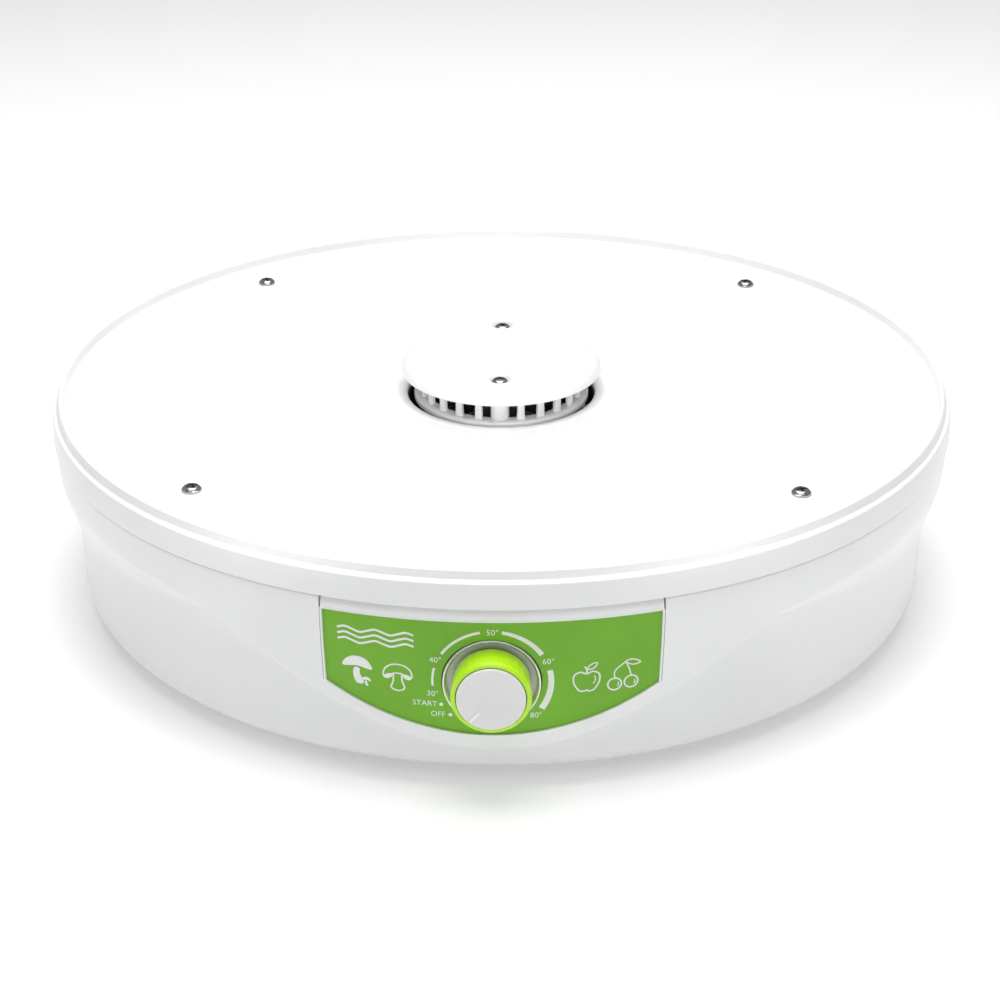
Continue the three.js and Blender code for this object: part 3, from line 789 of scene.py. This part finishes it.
def circle_points(radius, x=0.0, z=0.0, count=24):
    return [(x + radius * math.cos(2 * math.pi * i / count),
             z + radius * math.sin(2 * math.pi * i / count)) for i in range(count)]


def dial_point(radius, angle):
    """A point at an angle in degrees clockwise from the top of the dial."""
    turn = math.radians(angle)
    return radius * math.sin(turn), DIAL_HEIGHT + radius * math.cos(turn)


def arc_band(start, end, start_width, end_width, radius=SCALE_RADIUS + 0.4, steps=24):
    """A band round the dial that grows from one width to another."""
    shares = [step / steps for step in range(steps + 1)]
    outer, inner = [], []
    for share in shares:
        angle = mix(start, end, share)
        width = mix(start_width, end_width, share)
        outer.append(dial_point(radius + width / 2, angle))
        inner.append(dial_point(radius - width / 2, angle))
    return outer + inner[::-1]


def stroke(points, width, closed=False):
    """Loops that outline a line of even width along the points."""
    points = [Vector(p) for p in points]
    count = len(points)
    left, right = [], []
    for index, point in enumerate(points):
        before = points[index - 1] if closed or index else point
        after = points[(index + 1) % count] if closed or index < count - 1 else point
        along = (after - before).normalized()
        side = Vector((-along.y, along.x)) * width / 2
        left.append(tuple(point + side))
        right.append(tuple(point - side))
    if closed:
        return [left, right]
    return [left + right[::-1]]


def spline_points(knots, closed=False, steps=8):
    """A smooth line through the knots."""
    knots = [Vector(k) for k in knots]
    count = len(knots)
    spans = count if closed else count - 1
    points = []
    for span in range(spans):
        def knot(offset):
            place = span + offset
            return knots[place % count] if closed else knots[min(max(place, 0), count - 1)]
        a, b, c, d = knot(-1), knot(0), knot(1), knot(2)
        for step in range(steps):
            t = step / steps
            points.append(0.5 * (2 * b + (c - a) * t + (2 * a - 5 * b + 4 * c - d) * t * t
                                 + (3 * b - a - 3 * c + d) * t**3))
    if not closed:
        points.append(knots[-1])
    return [tuple(p) for p in points]


def shifted(points, x, z, size=1.0):
    return [(x + px * size, z + pz * size) for px, pz in points]


def print_scale():
    """Dial scale: growing arcs between the temperatures, dots and numerals."""
    bands = ((-96, -75, 0.8, 0.9), (-57, -11, 1.0, 1.05), (10, 57, 1.3, 1.9), (77, 123, 2.1, 2.5))
    curves = [flat_curve("arc", [arc_band(*band)]) for band in bands]
    for angle, text in ((-106, "30°"), (-65, "40°"), (1, "50°"), (66, "60°"), (134, "80°")):
        x, z = dial_point(SCALE_RADIUS, angle)
        curves.append(flat_text(text, x * 1.06, z, 2.4))
    for angle, text, gap in ((-134, "OFF", 4.6), (-119, "START", 6.1)):
        x, z = dial_point(SCALE_RADIUS, angle)
        curves.append(flat_curve("dot", [circle_points(0.75, x, z)]))
        curves.append(flat_text(text, x - gap, z, 2.3))
    printed("scale_print", curves)


def outline_of(knots, x, z, size=1.0, width=0.6, closed=True):
    """A line of even width through knots placed round a point of the label."""
    line = shifted(spline_points(knots, closed, 6), x, z, size)
    return flat_curve("line", stroke(line, width, closed))


def filled(knots, x, z, size=1.0):
    """A solid shape through knots placed round a point of the label."""
    return flat_curve("fill", [shifted(spline_points(knots, True, 5), x, z, size)])


def mushrooms():
    """A solid mushroom with a small one at its stem, and an outlined one."""
    hat = [(-6, 0), (-5.4, 2.6), (-3, 4.6), (0, 5.2), (3, 4.5), (5.3, 2.3), (6, -0.6), (0, 0.6)]
    stem = [(-1.2, 0), (0.9, -0.2), (1.1, -3), (2.6, -6.6), (1.2, -7.6), (-0.8, -6.8), (-1.8, -3)]
    curves = []
    for x, z, size in ((-50.2, 46.8, 0.92), (-46.9, 41.2, 0.3)):
        curves += [filled(hat, x, z, size), filled(stem, x, z - 0.4 * size, size)]
    x, z = -34.8, 45.2
    crown = [(-5.4, -0.2), (-4.8, 2.4), (-2.6, 4.3), (0, 4.8), (2.6, 4.3), (4.8, 2.4), (5.4, -0.2),
             (4.4, -1.5), (2.6, -0.8), (1.7, 0.6), (0, 0.9), (-1.7, 0.6), (-2.6, -0.8), (-4.4, -1.5)]
    foot = [(-1.6, 0.2), (-1.7, -2.6), (-2.5, -5.6), (0, -6.8), (2.5, -5.6), (1.7, -2.6), (1.6, 0.2)]
    gill = [(-4.9, -0.3), (-3.4, 0.5), (-1.9, 0.4), (-2.6, -0.8), (-4.2, -1.4)]
    curves += [outline_of(crown, x, z), outline_of(foot, x, z, closed=False), filled(gill, x, z)]
    curves.append(filled([(-gx, gz) for gx, gz in gill], x, z))
    return curves


def fruits():
    """An outlined apple and a pair of cherries, each with a small glint."""
    x, z = 34.9, 44.0
    apple = [(0, 2.4), (2.4, 3.3), (4.7, 1.9), (4.7, -1.5), (2.8, -4.8), (0.8, -5.2), (0, -4.8),
             (-0.8, -5.2), (-2.8, -4.8), (-4.7, -1.5), (-4.7, 1.9), (-2.4, 3.3)]
    leaf = [(0.2, 4.3), (1.5, 6.3), (3.9, 6.9), (2.8, 4.8)]
    stalk = [(0, 2.7), (0, 4.3), (-0.9, 5.7)]
    glint = [(2.9, 1.4), (3.3, -0.4), (2.5, -2.2)]
    curves = [outline_of(apple, x, z), outline_of(leaf, x, z, width=0.5),
              outline_of(stalk, x, z, closed=False), outline_of(glint, x, z, width=0.4, closed=False)]
    x, z = 48.6, 40.6
    for side, rise, bow in ((-3.1, 0, -1.4), (3.2, 0.4, 0.8)):
        ring = circle_points(2.6, x + side, z + rise, 32)
        curves.append(flat_curve("cherry", stroke(ring, 0.6, True)))
        stem = [(side, 2.7 + rise), (side / 2 + bow, 6), (1, 9.4)]
        curves.append(outline_of(stem, x, z, width=0.5, closed=False))
        shine = [(side + 1.3, rise + 0.7), (side + 1.5, rise - 0.3), (side + 1.0, rise - 1.2)]
        curves.append(outline_of(shine, x, z, width=0.4, closed=False))
    leaf = [(1, 9.4), (3.6, 10.2), (6.6, 8.6), (3.8, 7.8)]
    curves.append(outline_of(leaf, x, z, width=0.5))
    return curves


def warm_air():
    """Three waves, in the corner of the label."""
    wave = [(x * 2.9, 0.85 * math.sin(x * math.pi / 2)) for x in range(11)]
    return [outline_of(wave, -57.4, 58.2 + row * 2.4, width=0.85, closed=False) for row in range(3)]


def print_pictograms():
    printed("pictogram_print", mushrooms() + fruits() + warm_air())


# ---------------------------------------------------------------- dial


def make_cup():
    """The grey dish that the knob stands in, and the silver bezel round it."""
    cup = revolve("dial_cup", [
        (5.2, CUP_BACK, 0),
        (CUP_RADIUS, CUP_BACK, 0.4),
        (CUP_RADIUS, CUP_FRONT, 0.2),
        (13.2, CUP_FRONT, 0.3),
        (12.6, CUP_FLOOR, 0),
        (5.2, CUP_FLOOR, 0),
    ], 128, DIAL_FRAME)
    show(cup, DISH_GREY, replaces=["dial_dish"])
    bezel = revolve("bezel_ring", [
        (BEZEL_BORE, CUP_FRONT + 0.1, 0),
        (BEZEL_RADIUS, CUP_FRONT + 0.1, 0),
        (BEZEL_RADIUS, CUP_FRONT + 2, 0.5),
        (BEZEL_RADIUS - 0.5, CUP_FRONT + 2.4, 0.3),
        (BEZEL_BORE, CUP_FRONT + 1.6, 0.4),
    ], 160, DIAL_FRAME, 4)
    show(bezel, BEZEL_SILVER, replaces=["dial_bezel"])


def make_knob():
    """The lime knob: a skirt that widens forwards, and a seat for the disc in its face."""
    seat = KNOB_FRONT - 3.1
    knob = revolve("lime_knob", [
        (SPINDLE_BORE, KNOB_BACK + 3.8, 0),
        (11, KNOB_BACK + 3.8, 0.5),
        (12, KNOB_BACK, 0),
        (14.3, KNOB_BACK, 0.4),
        (KNOB_RADIUS, KNOB_FRONT - 1.1, 1.0),
        (KNOB_RADIUS - 0.9, KNOB_FRONT, 0.5),
        (DISC_SEAT_RADIUS, KNOB_FRONT, 0.3),
        (DISC_SEAT_RADIUS, seat, 0),
        (SPINDLE_BORE, seat, 0),
    ], 160, DIAL_FRAME, 6)
    show(knob, LIME, "knob", replaces=["knob_body"])


def make_disc():
    """The pearl disc in the knob's face, with its pointer in a groove."""
    disc = revolve("knob_disc", [
        (0, DISC_BACK, 0),
        (DISC_RADIUS, DISC_BACK, 0),
        (DISC_RADIUS, DISC_FRONT - 0.3, 0.5),
        (0, DISC_FRONT, 0),
    ], 160, DIAL_FRAME, 6)
    pointing = DIAL_FRAME @ turned(POINTER_ANGLE)
    groove = rectangle(-0.6, 6.5, 0.6, 12.3, 0.59)
    carve(disc, [prism("groove", groove, DISC_FRONT - 0.5, DISC_FRONT + 2, pointing)])
    show(disc, PEARL, "knob", replaces=["knob_cap"])
    ridge = rectangle(-0.55, 6.55, 0.55, 12.25, 0.54)
    ink = prism("pointer_ink", ridge, DISC_FRONT - 0.6, DISC_FRONT - 0.08, pointing)
    show(ink, POINTER_WHITE, "knob")


def make_dial():
    make_cup()
    make_knob()
    make_disc()


# ---------------------------------------------------------------- outlet


def make_grille():
    """The outlet's ring of bars, on a flange and under a crown, with the cap's two bosses."""
    foot = OUTLET_RIM - WALL
    base = revolve("grille_bars", [
        (GRILLE_BORE, foot, 0.3),
        (GRILLE_FLANGE, foot, 0.3),
        (GRILLE_FLANGE, OUTLET_RIM + 0.1, 0.8),
        (GRILLE_RADIUS + 0.6, OUTLET_RIM + 0.4, 0.6),
        (GRILLE_BORE, OUTLET_RIM + 0.2, 0.6),
    ], 160)
    crown = revolve("crown", [
        (GRILLE_BORE + 0.3, CAP_FOOT + 0.6, 0.3),
        (GRILLE_RADIUS - 0.2, CAP_FOOT + 0.6, 0.3),
        (GRILLE_RADIUS - 0.2, CAP_FOOT + 2.4, 0.3),
        (GRILLE_BORE + 0.3, CAP_FOOT + 2.4, 0.3),
    ], 160)
    bars = []
    for index in range(GRILLE_BARS):
        angle = index * 360 / GRILLE_BARS
        if index % (GRILLE_BARS // 2) == 0:
            boss_place = moved(*polar(CAP_SCREW_RADIUS, angle).xy)
            bars.append(column("boss", 4, foot + 0.5, CAP_FOOT + 2, boss_place, 40))
        else:
            bars.append(tapered_bar(angle))
    carve(base, [crown, merged("bars", bars)], "UNION")
    show(base, WHITE, replaces=["outlet_grille"], angle=40)


def tapered_bar(angle):
    """A grille bar, rounded outside, a little wider at its foot."""
    vertices, faces = [], []
    levels = [
        (OUTLET_RIM - 0.4, 2.1),
        (OUTLET_RIM + 0.6, 1.75),
        (OUTLET_RIM + 2, 1.6),
        (CAP_FOOT + 1.2, 1.3),
    ]
    section = rounded(rectangle(-1, -2.6, 1, 0, 0.6), 4)
    for z, half_width in levels:
        for side, depth in section:
            along = polar(half_width * side, angle + 90)
            vertices.append(polar(GRILLE_RADIUS + depth, angle, z) + along)
    count = len(section)
    for level in range(len(levels) - 1):
        for index in range(count):
            following = (index + 1) % count
            faces.append([level * count + index, level * count + following,
                          (level + 1) * count + following, (level + 1) * count + index])
    faces.append(list(range(count)))
    faces.append(list(range((len(levels) - 1) * count, len(levels) * count)))
    return mesh_piece("bar", vertices, faces)


def make_cap():
    """The domed cap over the outlet, with a long rounded shoulder and two screw recesses."""
    brink = CAP_FOOT + 0.9
    rise = CAP_TOP - 0.6 - brink
    shoulder = arc(CAP_RADIUS - CAP_SHOULDER, brink, CAP_SHOULDER, rise, 0, 82, 12)
    cap = revolve("cap_shell", [
        (0, CAP_TOP - 2.6, 0),
        (CAP_RADIUS - 11, CAP_TOP - 3, 4),
        (CAP_RADIUS - 2.2, CAP_FOOT + 1.4, 3),
        (CAP_RADIUS - 1.8, CAP_FOOT, 0.3),
        (CAP_RADIUS - 0.1, CAP_FOOT, 0.5),
        *[(radius, height, 0) for radius, height in shoulder],
        (20, CAP_TOP - 0.25, 0),
        (0, CAP_TOP, 0),
    ], 224, steps=6)
    recess = [
        (0, CAP_TOP - 2.3, 0),
        (4.1, CAP_TOP - 2.3, 0),
        (5.3, CAP_TOP + 0.4, 0),
        (0, CAP_TOP + 0.4, 0),
    ]
    for y in (-CAP_SCREW_RADIUS, CAP_SCREW_RADIUS):
        boss = column("boss", 4.6, CAP_FOOT + 2.7, CAP_TOP - 2, moved(0, y), 48)
        carve(cap, [boss], "UNION")
        shaft = column("shaft", 2.1, CAP_FOOT - 2, CAP_TOP + 2, moved(0, y))
        carve(cap, [shaft, revolve("recess", recess, 48, moved(0, y))])
    show(cap, WHITE, replaces=["outlet_cap"])


def make_screw(node, name, head_radius, head_height, seat, turn):
    """A pan-head screw with a cross recess, its shank hidden in the plastic."""
    low, high = edges_of(node)
    place = moved((low.x + high.x) / 2, (low.y + high.y) / 2) @ turned(turn)
    shank = head_radius * 0.48
    top = seat + head_height
    screw = revolve(name, [
        (0, low.z, 0),
        (shank * 0.4, low.z + 0.5, 0.2),
        (shank, low.z + 2.4, 0.4),
        (shank, seat, 0),
        (head_radius, seat, 0.25),
        (head_radius, seat + head_height * 0.4, 1.0),
        (head_radius * 0.72, seat + head_height * 0.9, 1.6),
        (0, top, 0),
    ], 64, place)
    half, reach = head_radius * 0.14, head_radius * 0.6
    bottom = top - head_height * 0.75
    wing = rectangle(-half, -reach, half, reach)
    wings = [prism("wing", wing, bottom, top + 1, place @ turned(quarter)) for quarter in (0, 90)]
    carve(screw, wings)
    show(screw, BRIGHT, replaces=[node], angle=25)


def make_screws():
    """The cover's and the cap's screws, each stopped at its own turn."""
    for index, turn in enumerate((12, -31, 24, 38), start=1):
        make_screw(f"cover_screw_{index}", f"cover_screw_head_{index}", 4, 2.3, PLATE + 0.05, turn)
    for index, turn in enumerate((8, 27), start=1):
        make_screw(f"cap_screw_{index}", f"cap_screw_head_{index}", 3.6, 1.9, CAP_TOP - 2.25, turn)


# ---------------------------------------------------------------- feet and cord inlet


def make_feet():
    """Rubber pads with a hollow sole, and a barb that holds them in the floor's holes."""
    foot, stem, pad_radius = FOOT_LOW.z, 3, 9
    sole = [
        (0, foot + 0.5, 0),
        (4, foot + 0.5, 0.4),
        (5, foot, 0.5),
        (pad_radius - 0.8, foot, 0.5),
        (pad_radius, foot + 0.9, 0.5),
        (pad_radius, -0.3, 0.4),
    ]
    barb = [
        (stem, -0.3, 0),
        (stem, WALL + 0.3, 0),
        (stem + 1.2, WALL + 0.3, 0.3),
        (stem, FOOT_HIGH.z, 0.6),
        (0, FOOT_HIGH.z, 0),
    ]
    for index, angle in enumerate(FOOT_ANGLES, start=1):
        place = moved(*polar(FOOT_CIRCLE, angle).xy)
        pad = revolve(f"foot_pad_{index}", sole + barb, 64, place)
        show(pad, RUBBER, replaces=[f"rubber_foot_{index}"])


def make_gland():
    """The cord gland: a bush through the rear wall, with a rounded collar outside."""
    bore, neck, collar, seat = 4.1, 6, 8.5, 188.2
    gland = revolve("gland_bush", [
        (bore, seat - 5.2, 0.4),
        (neck, seat - 5.2, 0.4),
        (neck, seat, 0),
        (collar, seat, 0.4),
        (collar, seat + 2.2, 0.8),
        (collar - 1.2, seat + 3.2, 0.8),
        (bore + 1.3, seat + 3.2, 0.6),
        (bore, seat + 2, 0.8),
    ], 64, INLET_FRAME)
    show(gland, BLACK, replaces=["cord_gland"])


# ---------------------------------------------------------------- stage, light and camera

# in metres
FLOOR_SIZE = 12

# The camera stands off the drum's axis and above its rim by a number of rim radii;
# its angles are in degrees.
CAMERA_DISTANCE = 4.208
CAMERA_RISE = 1.734
CAMERA_SIDE = 1.132
CAMERA_PAN = 1.184
CAMERA_DIP = 25.99
CAMERA_ROLL = -0.193


def make_stage():
    """A wide pale floor under the feet, which glows faintly so that it stays near white."""
    material = surface("studio_floor", (0.80, 0.80, 0.80), (0.78, 0.78, 0.78), 0.7, patch=0.7,
                       bump=0.02, Emission_Color=(1, 1, 1, 1), Emission_Strength=0.22)
    mesh = bpy.data.meshes.new("studio_floor")
    half = FLOOR_SIZE / 2
    corners = [(x, y, FOOT_LOW.z * MM) for x, y, _ in rectangle(-half, -half, half, half)]
    mesh.from_pydata(corners, [], [(0, 1, 2, 3)])
    mesh.materials.append(material)
    floor = bpy.data.objects.new("studio_floor", mesh)
    bpy.context.scene.collection.objects.link(floor)


def area_light(name, place, target, size, power):
    """A soft rectangular lamp, aimed at a point; places and sizes are in metres."""
    data = bpy.data.lights.new(name, "AREA")
    data.shape = "RECTANGLE"
    data.size, data.size_y = size
    data.energy = power
    light = bpy.data.objects.new(name, data)
    light.location = place
    light.rotation_euler = (Vector(target) - Vector(place)).to_track_quat("-Z", "Y").to_euler()
    bpy.context.scene.collection.objects.link(light)
    return light


def make_world():
    """A white studio that is dimmer in front of the drum than behind it."""
    world = bpy.data.worlds.new("studio")
    world.use_nodes = True
    tree = world.node_tree
    place = tree.nodes.new("ShaderNodeTexCoord")
    direction = tree.nodes.new("ShaderNodeSeparateXYZ")
    tree.links.new(place.outputs["Generated"], direction.inputs[0])
    strength = spread(tree, direction.outputs["Y"], -0.9, 0.1, 0.18, 0.34)
    backdrop = tree.nodes["Background"]
    backdrop.inputs["Color"].default_value = (1, 1, 1, 1)
    tree.links.new(strength, backdrop.inputs["Strength"])
    bpy.context.scene.world = world


def make_light():
    """Soft boxes above, in front and at the sides, and a small lamp for the outlet."""
    make_world()
    area_light("overhead", (0, 0.1, 1.6), (0, 0, 0), (1.2, 1.2), 28)
    area_light("front_box", (0, -0.95, 1.5), (0, 0, 0.05), (1.6, 0.7), 3.5)
    area_light("low_fill", (0, -1.5, 0.42), (0, 0, 0.08), (2.0, 0.4), 2.6)
    area_light("left_box", (-1.5, -0.2, 0.7), (0, 0, 0.05), (1.0, 0.8), 0.4)
    area_light("right_box", (1.5, -0.2, 0.7), (0, 0, 0.05), (1.0, 0.8), 0.4)
    # low over the front of the rim and hidden from the camera, it reaches in under the cap
    kicker = area_light("outlet_kicker", (0, -0.185, 0.14), (0, -0.03, 0.086), (0.2, 0.03), 0.14)
    kicker.visible_camera = False
    bpy.context.scene.view_settings.view_transform = "Standard"


def make_camera():
    """The photograph's viewpoint: a long lens in front of the drum, looking down."""
    data = bpy.data.cameras.new("camera")
    data.sensor_width = 36
    data.lens = 71.98
    camera = bpy.data.objects.new("camera", data)
    distance = CAMERA_DISTANCE * RIM_RADIUS
    height = LEDGE + CAMERA_RISE * RIM_RADIUS
    place = Matrix.Translation(polar(distance, CAMERA_SIDE, height) * MM)
    aim = (turned(CAMERA_PAN)
           @ Matrix.Rotation(math.radians(90 - CAMERA_DIP), 4, "X")
           @ turned(CAMERA_ROLL))
    camera.matrix_world = place @ aim
    bpy.context.scene.collection.objects.link(camera)
    bpy.context.scene.camera = camera


make_camera()
dress_frame()
make_cover()
make_housing()
make_panel()
print_scale()
print_pictograms()
make_dial()
make_grille()
make_cap()
make_screws()
make_feet()
make_gland()
make_stage()
make_light()
